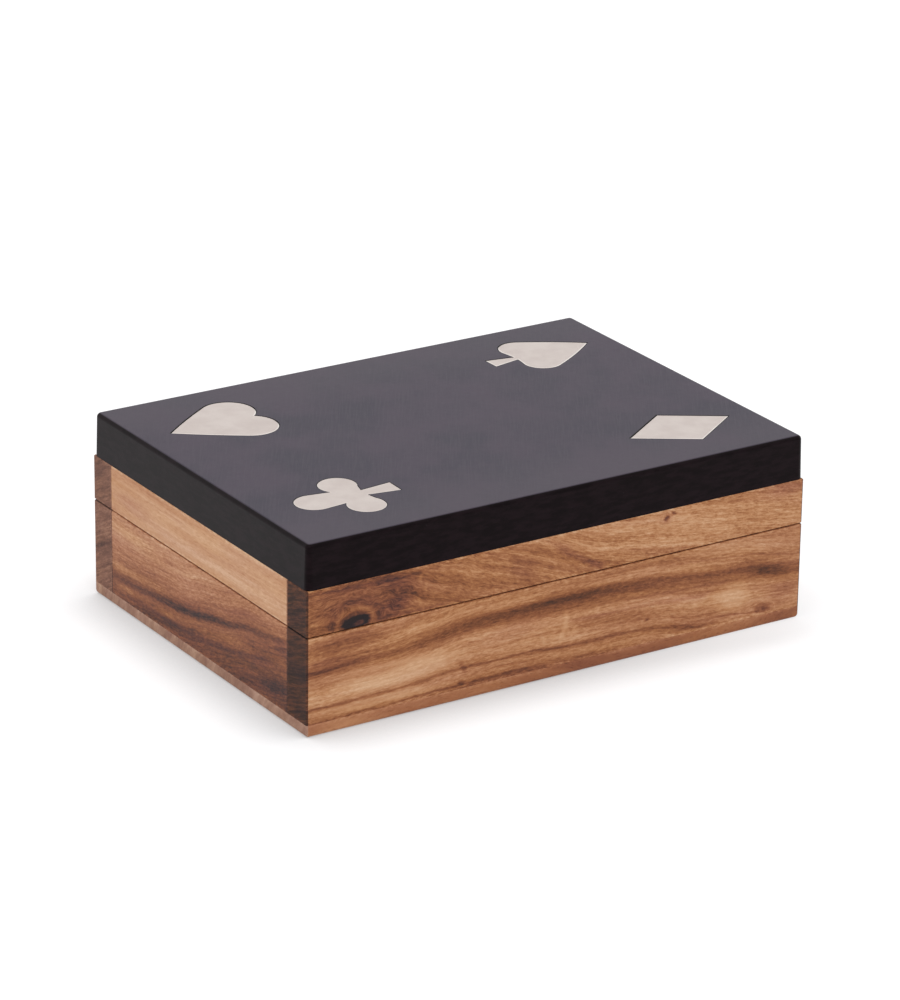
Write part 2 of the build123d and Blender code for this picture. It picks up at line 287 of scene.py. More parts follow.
def board(
    node,
    axes,
    outer_face,
    seed,
    tones,
    redness=0.25,
    slant=0.35,
    lay=(),
    streaks=(),
    spots=(),
    knots=(),
    curly=(),
    fleece=1.0,
    seam=0.0,
    end_shade=0.55,
    end_grey=0.35,
):
    """One board of solid wood, the same all through, so that faces, edges and end grain belong together.
    axes are the board's length, the face's height and the thickness; outer_face is where the face lies.
    Going in from that face, the figure shifts by slant. Lightness and redness run from 0 to 1.
    lay: lines (height, [(along, height) ...]) that the fibres follow. tones: [(height, lightness) ...].
    streaks: (points, half width, darkness, redness, fading). spots: (along, height, half length, half
    height, turn, lightness, redness, softness); strong ones die out 10 mm in from the face.
    knots: (along, height, reach along, reach up, rings). curly: (along, height, reach along, reach up,
    how far the fibres stray). fleece: how lively the grain is. seam: the height of the lid's opening
    line, along which painted shade darkens the wood. end_shade and end_grey: how light and how grey
    the ends are."""
    w = Wiring(f"{node}_wood")
    place = w.put("ShaderNodeTexCoord")
    parts = w.put("ShaderNodeSeparateXYZ", {0: place.outputs["Object"]})
    along = w.math("MULTIPLY", parts.outputs[axes[0]], 1000.0)
    deep = w.math("MULTIPLY_ADD", parts.outputs[axes[2]], 1000.0, -outer_face)
    level = w.math("MULTIPLY", parts.outputs[axes[1]], 1000.0)
    height = w.math("MULTIPLY_ADD", deep, slant, level)
    point = w.put("ShaderNodeCombineXYZ", {0: along, 1: height, 2: deep}).outputs[0]

    # Nothing in a board runs quite straight: a slow wander, and a quick one for ragged edges.
    slow = w.noise(point, (30.0, 9.0, 14.0), seed, 1.0)
    slow_shift = w.vector("MULTIPLY_ADD", slow.outputs["Color"], (5.0, 1.5, 0.0), (-2.5, -0.75, 0.0))
    quick = w.noise(point, (7.0, 1.1, 3.0), seed + 3.1, 2.0)
    quick_shift = w.vector("MULTIPLY_ADD", quick.outputs["Color"], (2.4, 1.5, 0.0), (-1.2, -0.75, 0.0))
    loose = w.vector("ADD", w.vector("ADD", point, slow_shift), quick_shift)
    loose_parts = w.put("ShaderNodeSeparateXYZ", {0: loose})
    loose_along, loose_height = loose_parts.outputs[0], loose_parts.outputs[1]

    # The fibres' own height: the drawn lines are level in it, and it closes up round a knot.
    settled = w.put("ShaderNodeSeparateXYZ", {0: w.vector("ADD", point, slow_shift)}).outputs[1]
    fibre_height = settled
    drifts = []
    for base, line in lay:
        drifts.append((base, w.curve(along, [(x, y - base) for x, y in line])))
    if len(drifts) == 1:
        fibre_height = w.math("SUBTRACT", settled, drifts[0][1])
    if len(drifts) == 2:
        share = w.range(settled, drifts[0][0], drifts[1][0], soft=False)
        lower = w.math("MULTIPLY", drifts[0][1], w.math("SUBTRACT", 1.0, share))
        drift = w.math("MULTIPLY_ADD", drifts[1][1], share, lower)
        fibre_height = w.math("SUBTRACT", settled, drift)
    ring_tones = []
    for x, y, reach, rise, rings in knots:
        away = w.away(loose, x, y, reach, rise)
        off = w.math("SUBTRACT", settled, y)
        pull = w.range(away, 0.0, 1.0, 0.9, 0.0)
        fibre_height = w.math("SUBTRACT", fibre_height, w.math("MULTIPLY", off, pull))
        ripple = w.put("ShaderNodeCombineXYZ", {0: w.math("MULTIPLY", away, reach), 1: seed}).outputs[0]
        ripple = w.noise(ripple, (0.9, 1.0, 1.0), 0.0, 2.0, 0.7).outputs[0]
        fall = w.range(away, 0.15, 0.95, rings, 0.0)
        ring_tones.append(w.math("MULTIPLY", w.math("SUBTRACT", ripple, 0.5), fall))
    for x, y, reach, rise, stray in curly:
        pull = w.range(w.away(loose, x, y, reach, rise), 0.2, 1.0, stray, 0.0)
        swirl = w.noise(point, (6.0, 4.0, 6.0), seed + 7.7, 1.0)
        turned = w.math("SUBTRACT", swirl.outputs[0], 0.5)
        fibre_height = w.math("MULTIPLY_ADD", turned, pull, fibre_height)
    fibre = w.put("ShaderNodeCombineXYZ", {0: along, 1: fibre_height, 2: deep}).outputs[0]

    broad = w.noise(fibre, (75.0, 4.2, 9.0), seed + 11.0, 2.0).outputs[0]
    bands = w.noise(fibre, (24.0, 1.15, 3.0), seed + 17.0, 3.0, 0.62).outputs[0]
    threads = w.noise(fibre, (5.0, 0.40, 1.2), seed + 23.0, 3.0, 0.65).outputs[0]
    mottle = w.noise(fibre, (1.9, 0.75, 1.4), seed + 29.0, 4.0, 0.7).outputs[0]
    pores = w.range(w.noise(fibre, (3.4, 0.20, 0.6), seed + 31.0, 1.0).outputs[0], 0.60, 0.72)
    hues = w.noise(fibre, (45.0, 5.0, 9.0), seed + 37.0, 2.0).outputs[0]

    # Lightness and redness, added up from the drawn tones, the streaks, the spots and the fibres.
    # The third part of the sum is calm: how much of the grain's liveliness a light spot takes away.
    tone = w.curve(fibre_height, tones)
    sums = w.put("ShaderNodeCombineXYZ", {0: tone, 1: redness, 2: 0.0}).outputs[0]
    woven = w.math("MULTIPLY_ADD", threads, 0.45, w.math("MULTIPLY", bands, 0.55))
    streaky = w.range(woven, 0.34, 0.66, 0.35, 1.15)
    for line, half, darkness, redder, fading in streaks:
        middle = w.curve(along, line)
        off = w.math("DIVIDE", w.math("ABSOLUTE", w.math("SUBTRACT", loose_height, middle)), half)
        mask = w.math("MULTIPLY", w.range(off, 1.0, 0.05), streaky)
        if fading:
            mask = w.math("MULTIPLY", mask, w.curve(loose_along, fading, 0.0, 1.0))
        sums = w.vector("MULTIPLY_ADD", mask, (-darkness, redder, 0.0), sums)
    for x, y, reach, rise, turn, lighter, redder, soft in spots:
        mask = w.range(w.away(loose, x, y, reach, rise, turn), 1.0, 1.0 - soft)
        strong = abs(lighter) > 0.15
        if strong:
            mask = w.math("MULTIPLY", mask, w.range(w.math("ABSOLUTE", deep), 10.0, 1.0))
        calm = 0.45 if lighter > 0.11 else 0.0
        sums = w.vector("MULTIPLY_ADD", mask, (lighter, redder, calm), sums)
    grain = w.put("ShaderNodeCombineXYZ", {0: bands, 1: threads, 2: mottle}).outputs[0]
    grain = w.vector("SUBTRACT", grain, (0.5, 0.5, 0.5))
    grain_tone = w.vector("DOT_PRODUCT", grain, (0.34 * fleece, 0.30 * fleece, 0.52 * fleece))
    for ring_tone in ring_tones:
        grain_tone = w.math("ADD", grain_tone, ring_tone)
    sums_parts = w.put("ShaderNodeSeparateXYZ", {0: sums})
    lively = w.math("SUBTRACT", 1.0, w.math("MINIMUM", sums_parts.outputs[2], 0.7))
    grain_tone = w.math("MULTIPLY", grain_tone, lively)
    light = w.math("ADD", sums_parts.outputs[0], grain_tone)
    light = w.math("ADD", light, w.math("MULTIPLY_ADD", broad, 0.5, -0.25))
    light = w.math("MULTIPLY_ADD", pores, -0.10, light)
    red = w.math("ADD", sums_parts.outputs[1], w.math("MULTIPLY_ADD", hues, 1.5, -0.75))

    # End grain drinks more oil: darker and greyer, banded along the slant.
    low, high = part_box(node)
    gaps = {}
    for number, axis in enumerate("XYZ"):
        middle = (low[number] + high[number]) / 2.0
        reach = (high[number] - low[number]) / 2.0
        off = w.math("ABSOLUTE", w.math("SUBTRACT", parts.outputs[axis], middle))
        gaps[axis] = w.math("MULTIPLY", w.math("SUBTRACT", reach, off), 1000.0)
    end = w.range(gaps[axes[0]], 0.62, 0.40)
    end_bands = w.noise(fibre, (400.0, 0.9, 7.0), seed + 41.0, 3.0, 0.65).outputs[0]
    end_darker = w.math("MULTIPLY_ADD", end_bands, 0.7 * fleece, end_shade - 0.35 * fleece)
    end_light = w.math("MULTIPLY", light, end_darker)
    light = w.math("ADD", light, w.math("MULTIPLY", end, w.math("SUBTRACT", end_light, light)))

    # Corners are rubbed paler, unevenly, where hands have taken the oil off.
    lesser = w.math("MINIMUM", gaps["X"], gaps["Y"])
    greater = w.math("MAXIMUM", gaps["X"], gaps["Y"])
    to_edge = w.math("MAXIMUM", lesser, w.math("MINIMUM", greater, gaps["Z"]))
    rub = w.math("MULTIPLY", w.range(to_edge, 1.1, 0.1), w.range(mottle, 0.40, 0.62))
    light = w.math("MULTIPLY_ADD", rub, 0.10, light)
    # Painted shade darkens the wood along the lid's opening line.
    if seam:
        seam_painted_shade = w.range(w.math("ABSOLUTE", w.math("SUBTRACT", level, seam)), 0.42, 0.12, 0.0, 0.26)
        light = w.math("SUBTRACT", light, seam_painted_shade)

    tan = w.colour(light, tan_wood)
    rose = w.colour(light, red_wood)
    body = w.mix(w.range(red, 0.0, 1.0, soft=False), tan, rose)
    feeds = {"Saturation": 0.55, "Value": 0.85, "Color": body}
    grey = w.put("ShaderNodeHueSaturation", feeds).outputs["Color"]
    body = w.mix(w.math("MULTIPLY", end, end_grey), body, grey)
    rough = w.math("MULTIPLY_ADD", threads, 0.25, 0.40)
    rough = w.math("MULTIPLY_ADD", end, 0.15, rough)
    rough = w.math("MULTIPLY_ADD", pores, 0.12, rough)
    relief = w.math("MULTIPLY_ADD", pores, -0.8, w.math("MULTIPLY", threads, 0.7))
    relief = w.math("MULTIPLY_ADD", broad, 1.5, relief)
    give(node, w.surface(body, rough, relief, 0.6, 0.00006, {"Specular IOR Level": 0.22}))


board(
    "base_board",
    ("X", "Y", "Z"),
    0.0,
    2.3,
    [(-64.5, 0.60), (-40, 0.68), (-10, 0.62), (20, 0.66), (64.5, 0.64)],
    redness=0.5,
    fleece=0.35,
    slant=0.4,
    lay=[(0.0, [(-89, 0), (-30, 3), (20, -2), (89, 4)])],
    streaks=[
        ([(-89, -30), (-20, -26), (40, -31), (89, -27)], 3.2, 0.34, 0.2, [(-86, 0), (-70, 1), (89, 1)]),
        ([(-89, 12), (-20, 15), (40, 9), (89, 13)], 1.8, 0.30, 0.2, [(-86, 0), (-70, 1), (89, 1)]),
        ([(-89, 40), (0, 43), (89, 38)], 4.5, 0.16, 0.3, [(-86, 0), (-70, 1), (89, 1)]),
    ],
    spots=[
        (-76, -64, 20, 6, 0, 0.09, -0.2, 0.9),
        (42, -64, 22, 5, 0, -0.06, 0.0, 0.9),
        (10, -64, 42, 5, 0, -0.08, 0.3, 0.9),
        (40, 20, 30, 12, 8, 0.10, -0.2, 0.9),
    ],
    end_shade=1.02,
    end_grey=0.6,
)


# ---------------------------------------------------------------------------------- the box front wall
# The longest face that shows: one board 11 mm thick, butted over the ends of the side walls. A dark
# heartwood streak arches along it, with two thin ones below and a small soft knot low at the right.

front_streak = [
    (-89, 20.0),
    (-60, 20.8),
    (-52, 22.2),
    (-43, 23.1),
    (-29, 24.8),
    (-2, 24.8),
    (26, 24.7),
    (41, 23.5),
    (54, 21.8),
    (65, 20.4),
    (77, 18.2),
    (89, 15.6),
]
front_low_streak = [
    (-89, 8.5),
    (-54, 8.9),
    (-39, 10.2),
    (-21, 10.6),
    (-9, 10.4),
    (2, 9.4),
    (26, 9.1),
    (45, 6.4),
    (55, 5.0),
    (89, 4.0),
]

board(
    "box_front_wall",
    ("X", "Z", "Y"),
    -64.5,
    5.7,
    [
        (4, 0.60), (6, 0.70), (9, 0.74), (13, 0.75), (17, 0.72),
        (20, 0.64), (24, 0.53), (28, 0.68), (31, 0.66),
    ],
    redness=0.20,
    lay=[(8.0, front_low_streak), (24.0, front_streak)],
    streaks=[
        (
            [(x, y + 0.3) for x, y in front_streak],
            1.7,
            0.09,
            -0.1,
            [
                (-66, 0), (-57, 0.9), (-40, 0.5), (-30, 1), (26, 1),
                (36, 0.6), (62, 0.7), (76, 0.4), (84, 0),
            ],
        ),
        (
            [(x, y - 0.5) for x, y in front_streak],
            3.8,
            0.18,
            -0.05,
            [(-54, 0), (-30, 1), (28, 1), (40, 0.6), (62, 0.5), (72, 0.9), (89, 0.6)],
        ),
        ([(-89, 20.3), (-78, 20.7), (-64, 21.8)], 1.2, 0.26, 0.3, [(-89, 1), (-74, 0.8), (-63, 0)]),
        (
            [(-20, 21.0), (10, 20.8), (40, 19.2), (70, 16.6)],
            1.2, 0.13, 0.3,
            [(-20, 0), (24, 0.8), (60, 0.9), (72, 0)],
        ),
        ([(0, 17.4), (30, 16.6), (60, 14.6)], 0.9, 0.10, 0.3, [(0, 0), (14, 1), (44, 1), (56, 0)]),
        (front_low_streak, 0.9, 0.28, 0.1, [(-89, 1), (30, 1), (52, 0.5), (60, 0)]),
        (front_low_streak, 2.4, 0.12, 0.3, [(-40, 0), (-20, 0.6), (0, 1), (40, 1), (60, 0)]),
        ([(54, 7.4), (62, 6.6), (70, 5.8)], 0.6, 0.20, 0.2, [(54, 0), (60, 1), (70, 1), (73, 0)]),
        (
            [(-89, 4.3), (-69, 4.3), (-41, 5.2), (-26, 5.2), (0, 4.8)],
            0.7, 0.20, 0.2,
            [(-89, 1), (-26, 1), (0, 0)],
        ),
        ([(68, 22.6), (75.5, 22.2)], 0.5, 0.16, 0.2, [(66, 0), (69, 1), (75, 1), (77, 0)]),
        ([(30, 28.4), (60, 26.0), (89, 21.6)], 0.7, 0.10, 0.3, [(30, 0), (50, 1), (80, 1), (89, 0.6)]),
    ],
    spots=[
        (-76, 27.0, 18, 5.5, 0, -0.18, 0.2, 0.8),
        (-82, 22.6, 12, 2.0, 0, -0.05, 0.5, 0.9),
        (-58, 14.5, 28, 6.5, 0, 0.15, -0.2, 0.6),
        (-66, 6.8, 30, 2.8, 0, 0.15, -0.1, 0.8),
        (-50, 27.5, 14, 3.4, 8, 0.04, -0.1, 0.9),
        (-28, 20.5, 12, 2.2, 8, 0.06, -0.2, 0.8),
        (1.2, 16.5, 1.8, 6.8, 0, 0.12, -0.2, 0.9),
        (4.5, 14.5, 1.0, 4.0, 0, 0.06, -0.1, 0.9),
        (20, 14.0, 28, 5.0, -4, -0.08, 0.35, 0.9),
        (-35, 10.5, 1.4, 3.4, 10, -0.14, 0.2, 0.8),
        (-35.7, 5.8, 2.0, 1.4, 0, -0.16, 0.2, 0.8),
        (31, 11.6, 1.4, 0.8, 0, -0.2, 0.2, 0.8),
        (63, 12.4, 9, 6.5, 0, 0.12, -0.6, 0.8),
        (56, 14.5, 5.0, 3.0, 20, 0.0, -0.5, 0.9),
        (78, 17.6, 11, 3.0, -12, -0.12, -0.1, 0.8),
        (83, 10.5, 9, 5.0, 0, -0.10, 0.4, 0.9),
        (73.9, 6.4, 5.4, 2.2, 0, -0.26, 0.3, 0.9),
        (75.0, 6.2, 2.4, 1.0, 0, -0.14, 0.2, 0.9),
        (0, 3.5, 50, 2.6, 0, -0.06, 0.5, 0.9),
        (46, 7.0, 30, 5.0, 0, -0.12, 0.1, 0.9),
        (76, 21.0, 16, 4.0, -10, -0.07, -0.1, 0.9),
        (2, 26.0, 25, 3.4, 0, -0.10, -0.2, 0.9),
        (64, 28, 30, 3.6, -6, 0.11, -0.2, 0.9),
    ],
    knots=[(73.9, 6.2, 9, 5.0, 0.3)],
    seam=31.6,
    fleece=1.2,
    end_shade=0.23,
    end_grey=0.12,
)


# ---------------------------------------------------------------------------------- the box left wall
# The other side that shows. Its ends are glued between the front and back walls, whose end grain stands
# beside it. Light above and brown below, parted by a dark streak that climbs towards the front.

left_streak = [
    (-53.5, 26.8),
    (-42, 24.3),
    (-29, 22.4),
    (-17, 19.3),
    (-4, 16.8),
    (8, 14.3),
    (21, 13.1),
    (39, 11.2),
    (53.5, 10.6),
]

board(
    "box_left_wall",
    ("Y", "Z", "X"),
    -89.0,
    9.1,
    [(-2, 0.34), (6, 0.37), (10, 0.43), (13.5, 0.48), (16, 0.54), (20, 0.63), (26, 0.73), (34, 0.82)],
    redness=0.55,
    slant=0.3,
    lay=[(15.8, left_streak)],
    streaks=[
        (
            left_streak,
            1.7,
            0.32,
            0.1,
            [(-53.5, 0.3), (-45, 0.6), (-24, 0.9), (-14, 1.2), (4, 1.2), (20, 0.8), (53.5, 0.5)],
        ),
        ([(x, y - 0.4) for x, y in left_streak], 3.0, 0.12, 0.3, [(-53.5, 0.6), (-30, 1), (53.5, 1)]),
        (
            [(-53.5, 17.0), (-36, 15.0), (-20, 11.4), (10, 7.6), (30, 6.0)],
            1.6, 0.10, 0.5,
            [(-53.5, 1), (0, 1), (30, 0)],
        ),
        ([(10, 8.0), (30, 7.0), (44, 6.4)], 1.4, 0.10, 0.3, [(8, 0), (22, 1), (38, 1), (46, 0)]),
        ([(8, 27.3), (30, 27.0), (50, 27.4)], 0.5, 0.10, 0.0, [(14, 0), (24, 1), (36, 1), (44, 0)]),
    ],
    spots=[
        (-48, 9, 14, 7, 0, -0.08, 0.3, 0.9),
        (-38, 14.5, 10, 3.4, -14, -0.02, 0.6, 0.9),
        (-20, 15.5, 15, 2.4, -12, 0.08, -0.3, 0.8),
        (-6, 12.0, 12, 1.8, -10, 0.06, -0.3, 0.8),
        (20, 9.5, 9, 1.6, -8, 0.05, -0.5, 0.8),
        (44, 8, 8, 1.4, 0, 0.10, -0.3, 0.9),
        (26, 20, 28, 5, -4, -0.02, 0.2, 0.9),
        (36, 27, 20, 4, 0, 0.05, -0.4, 0.9),
        (-34, 26.5, 20, 4.5, -10, -0.11, 0.1, 0.9),
        (4, 17.0, 26, 4.5, -10, -0.08, 0.2, 0.9),
        (30, 26.0, 24, 6, 0, -0.05, 0.0, 0.9),
        (-36, 7.0, 20, 5, 0, 0.04, 0.2, 0.9),
        (-20, 25, 22, 4, -14, -0.04, 0.2, 0.9),
        (-50, 24, 6, 3.6, 0, -0.08, 0.5, 0.9),
    ],
    fleece=1.25,
    seam=31.6,
    end_shade=0.5,
    end_grey=0.4,
)


# --------------------------------------------------------------------- the back and right box walls
# The sides away from the camera, the same boards. The back wall's end grain shows on the left side; the
# hinge leaves are let into its top edge.

board(
    "box_back_wall",
    ("X", "Z", "Y"),
    64.5,
    13.9,
    [(4, 0.60), (10, 0.68), (16, 0.60), (22, 0.70), (31, 0.66)],
    redness=0.35,
    slant=0.5,
    lay=[(14.0, [(-89, 12), (-30, 16), (20, 13), (89, 17)])],
    streaks=[
        (
            [(-89, 15.5), (-40, 18.0), (0, 17.0), (50, 20.0), (89, 18.5)],
            1.6, 0.30, 0.2,
            [(-89, 1), (-10, 0.6), (30, 1), (89, 0.8)],
        ),
        ([(-89, 8.0), (-20, 9.5), (30, 7.0), (89, 9.0)], 0.8, 0.26, 0.2, ()),
        ([(-60, 27.0), (0, 26.0), (89, 28.0)], 2.2, 0.12, 0.3, [(-60, 0), (-30, 1), (60, 1), (89, 0)]),
    ],
    spots=[
        (-50, 23, 22, 4, 0, 0.08, -0.3, 0.9),
        (34, 12.5, 18, 4, 4, 0.10, -0.3, 0.9),
        (-6, 8.5, 3.0, 1.6, 0, -0.4, 0.2, 0.6),
        (70, 25, 14, 5, 0, -0.08, 0.4, 0.9),
    ],
    knots=[(-6, 8.5, 11, 6, 0.4)],
    seam=31.6,
    end_shade=0.70,
    end_grey=0.5,
)
board(
    "box_right_wall",
    ("Y", "Z", "X"),
    89.0,
    19.3,
    [(4, 0.58), (10, 0.66), (18, 0.72), (25, 0.64), (31, 0.70)],
    redness=0.3,
    lay=[(15.0, [(-53.5, 17), (-10, 14), (30, 15), (53.5, 13)])],
    streaks=[
        ([(-53.5, 22.0), (-20, 19.5), (20, 20.5), (53.5, 17.5)], 1.3, 0.30, 0.2, ()),
        ([(-53.5, 9.0), (0, 7.0), (53.5, 6.0)], 0.8, 0.22, 0.2, ()),
    ],
    spots=[
        (10, 12, 22, 3.5, -3, 0.08, -0.3, 0.9),
        (-36, 26, 16, 4, 0, -0.06, 0.4, 0.9),
    ],
    seam=31.6,
)


# ------------------------------------------------------------------------------------ the well divider
# A thin slip of the same wood between the two deck wells, housed in the front and back walls, with a
# scoop cut in its top edge for the fingers.

board(
    "well_divider",
    ("Y", "Z", "X"),
    -2.5,
    27.1,
    [(4, 0.62), (14, 0.70), (20, 0.62), (27, 0.68)],
    redness=0.3,
    lay=[(15.0, [(-56, 14), (0, 16), (56, 14.5)])],
    streaks=[
        ([(-56, 12.0), (0, 14.5), (56, 12.5)], 0.9, 0.26, 0.2, ()),
        ([(-56, 22.0), (0, 23.0), (56, 21.0)], 1.8, 0.10, 0.4, ()),
    ],
    spots=[(24, 8, 16, 3, 3, 0.08, -0.3, 0.9)],
    end_shade=0.6,
)


# ----------------------------------------------------------------------------------- the lid front rail
# The lid's own front board, from another part of the same plank. A knot is cut through at its lower edge,
# with a pale ring and curly red wood round it; towards the right the grain runs down and turns light.

board(
    "lid_front_rail",
    ("X", "Z", "Y"),
    -64.5,
    31.7,
    [(20, 0.55), (40, 0.58), (60, 0.66), (86, 0.76)],
    redness=0.04,
    lay=[(0.0, [(-89, 0), (-60, 0), (-48, -3), (-10, -15), (16, -24), (40, -28), (89, -35)])],
    streaks=[
        ([(-89, 45.0), (-60, 44.2), (-40, 45.0)], 0.9, 0.12, 0.4, [(-89, 1), (-60, 1), (-44, 0)]),
        (
            [(-64, 33.0), (-50, 32.6), (-38, 33.4)],
            0.8, 0.10, 0.4,
            [(-66, 0), (-56, 1), (-44, 1), (-36, 0)],
        ),
    ],
    spots=[
        (-70, 39, 25, 12, 0, -0.13, 0.35, 0.6),
        (-50, 42, 20, 8, -15, -0.08, 0.1, 0.9),
        (-58, 43, 10, 4, -20, -0.08, 0.3, 0.9),
        (-71.8, 34.2, 12.5, 9.0, 0, -0.08, 0.3, 0.4),
        (-71.8, 33.9, 8.8, 6.4, 0, 0.20, -0.5, 0.35),
        (-71.8, 33.6, 6.9, 4.2, 0, -0.22, 0.3, 0.3),
        (-71.7, 33.8, 5.9, 2.6, 3, -0.40, 0.2, 0.35),
        (-70.9, 33.2, 3.5, 1.5, 4, 0.37, 1.8, 0.75),
        (-58, 36, 8, 5, 30, -0.08, 0.5, 0.9),
        (-49.8, 43.0, 0.9, 3.0, -24, 0.12, -0.2, 0.9),
        (-48.6, 39.6, 0.9, 2.6, 16, 0.12, -0.2, 0.9),
        (-50.4, 36.0, 0.9, 2.6, 20, 0.12, -0.2, 0.9),
        (-36, 40, 15, 9, -20, -0.02, -0.2, 0.9),
        (-14, 38, 9, 5, -20, -0.10, 0.4, 0.9),
        (-20, 44, 14, 3, -10, -0.05, 0.1, 0.9),
        (4.6, 38.6, 14.0, 2.3, -30, -0.15, 0.8, 0.9),
        (12, 34, 6, 2.4, -20, -0.05, 0.6, 0.9),
        (37.5, 43.4, 1.5, 2.0, 10, -0.30, 0.4, 0.8),
        (37.5, 43.4, 3.6, 3.2, 10, -0.07, 0.4, 0.9),
        (39.9, 45.0, 1.2, 1.1, 0, -0.28, 0.3, 0.8),
        (82, 44, 14, 4, 0, -0.04, 0.5, 0.9),
        (48, 38, 38, 7, -4, 0.08, -0.1, 0.9),
        (22, 43, 10, 3, -14, 0.05, -0.1, 0.9),
    ],
    knots=[(-71.8, 33.7, 17, 12, 0.7), (38, 44, 5, 4, 0.2)],
    curly=[(-68, 39, 26, 14, 6.0), (-36, 40, 22, 12, 3.0)],
    fleece=1.45,
    seam=31.6,
    end_shade=0.27,
    end_grey=0.15,
)


# ----------------------------------------------------------------- the lid's left, right and back rails
# The lid's other three boards. The left one is the palest piece of wood on the box, almost without
# figure; the right and back ones are like it, with a streak or two.

board(
    "lid_left_rail",
    ("Y", "Z", "X"),
    -89.0,
    37.9,
    [(31, 0.84), (36, 0.87), (42, 0.84), (47, 0.87)],
    redness=0.30,
    lay=[(39.0, [(-53.5, 40), (0, 39), (53.5, 39.5)])],
    streaks=[
        ([(10, 42.6), (30, 42.2), (53.5, 42.0)], 0.5, 0.08, 0.1, [(6, 0), (14, 1), (40, 1), (50, 0)]),
        ([(-10, 35.8), (24, 36.4), (40, 35.4)], 0.8, 0.05, 0.1, [(-14, 0), (0, 1), (30, 1), (44, 0)]),
    ],
    spots=[(40, 37, 16, 6, 0, -0.02, 0.3, 0.9), (-6, 42, 20, 4, 0, 0.0, -0.4, 0.9)],
    fleece=0.6,
    seam=31.6,
)
board(
    "lid_right_rail",
    ("Y", "Z", "X"),
    89.0,
    43.3,
    [(31, 0.70), (37, 0.74), (42, 0.68), (47, 0.72)],
    redness=0.25,
    lay=[(39.0, [(-53.5, 40), (0, 38), (53.5, 40)])],
    streaks=[([(-53.5, 38.0), (0, 36.0), (53.5, 38.5)], 0.9, 0.22, 0.2, ())],
    spots=[(20, 43, 18, 3, 0, 0.06, -0.3, 0.9)],
    seam=31.6,
)
board(
    "lid_back_rail",
    ("X", "Z", "Y"),
    64.5,
    47.7,
    [(31, 0.66), (36, 0.72), (42, 0.66), (47, 0.70)],
    redness=0.3,
    slant=0.5,
    lay=[(39.0, [(-89, 39), (-20, 37), (40, 40), (89, 38)])],
    streaks=[
        (
            [(-89, 40.5), (-20, 39.0), (40, 42.0), (89, 40.0)],
            1.2, 0.26, 0.2,
            [(-89, 0.4), (-20, 1), (60, 1), (89, 0.5)],
        ),
        ([(-89, 34.0), (0, 33.5), (89, 34.5)], 0.6, 0.18, 0.2, ()),
    ],
    spots=[(-50, 43.5, 20, 2.5, 0, 0.07, -0.3, 0.9), (60, 36, 16, 3, 0, 0.06, -0.3, 0.9)],
    seam=31.6,
    end_shade=0.60,
    end_grey=0.5,
)


# -------------------------------------------------------------------------------------- the lid slab
# One thick slab cast in black resin, its sides leaning in a little and its top edge rounded by sanding.
# It is rubbed to an even satin: a soft sheen, faint cloudiness, a few hair scratches and specks of dust.
# Its flat top also carries a painted sheen in its colour, with a painted highlight along its front and back
# edges.

resin = Wiring("black_resin_satin")
resin_mm = resin.millimetres()
resin_xyz = resin.put("ShaderNodeSeparateXYZ", {0: resin_mm})
resin_cloud = resin.noise(resin_mm, (26.0, 26.0, 20.0), 4.0, 3.0).outputs[0]
resin_haze = resin.noise(resin_mm, (2.2, 2.2, 2.2), 9.0, 3.0).outputs[0]
resin_grit = resin.noise(resin_mm, (0.22, 0.22, 0.22), 15.0, 2.0).outputs[0]
resin_mark = resin.noise(resin_mm, (6.0, 6.0, 1.6), 27.0, 3.0, 0.7).outputs[0]
resin_turn = resin.put("ShaderNodeMapping", {0: resin_mm, "Rotation": (0.0, 0.0, -1.0)}).outputs[0]
resin_hairs = resin.noise(resin_turn, (16.0, 0.12, 16.0), 21.0, 1.0).outputs[0]
resin_strokes = resin.noise(resin_turn, (11.0, 0.45, 11.0), 33.0, 2.0).outputs[0]
resin_dust = resin.put("ShaderNodeTexVoronoi", {"Vector": resin_mm, "Scale": 0.32})

# The sides are near black, faintly marked. The flat top is sanded paler and carries a painted sheen,
# with a painted highlight towards its front and back edges; the sandpaper's strokes are paler too.
side_black = (0.0012, 0.0004, 0.0008, 1.0)
side_marked = (0.0068, 0.0034, 0.0048, 1.0)
# The top's colours carry a painted sheen as well as the sanding; the edge colour is a painted highlight.
top_dark_painted_sheen = (0.0440, 0.0370, 0.0570, 1.0)
top_cloudy_painted_sheen = (0.0670, 0.0510, 0.0750, 1.0)
top_edge_painted_highlight = (0.0830, 0.0690, 0.0870, 1.0)
top_stroke = (0.0780, 0.0650, 0.0860, 1.0)
top_half_length = 85.5
top_half_width = 61.0
resin_side = resin.mix(resin.range(resin_mark, 0.36, 0.66), side_black, side_marked)
resin_top_sanded_painted_sheen = resin.mix(resin.range(resin_cloud, 0.35, 0.65), top_dark_painted_sheen, top_cloudy_painted_sheen)
resin_wide = resin.math("DIVIDE", resin.math("ABSOLUTE", resin_xyz.outputs["Y"]), top_half_width)
# Paler towards the front and back edges: a painted highlight.
resin_paler_sheen_and_strokes = resin.math("MULTIPLY", resin.range(resin_wide, 0.45, 1.0), 0.45)
resin_top_sanded_painted_sheen = resin.mix(resin_paler_sheen_and_strokes, resin_top_sanded_painted_sheen, top_edge_painted_highlight)
resin_paler_sheen_and_strokes = resin.math("MULTIPLY", resin.range(resin_strokes, 0.42, 0.70), 0.35)
resin_top_sanded_painted_sheen = resin.mix(resin_paler_sheen_and_strokes, resin_top_sanded_painted_sheen, top_stroke)
resin_facing = resin.put("ShaderNodeTexCoord").outputs["Normal"]
resin_up = resin.put("ShaderNodeSeparateXYZ", {0: resin_facing}).outputs["Z"]
# The upward normal picks out the top, which takes the painted sheen.
resin_flat = resin.range(resin_up, 0.86, 0.995)
resin_tint = resin.mix(resin_flat, resin_side, resin_top_sanded_painted_sheen)
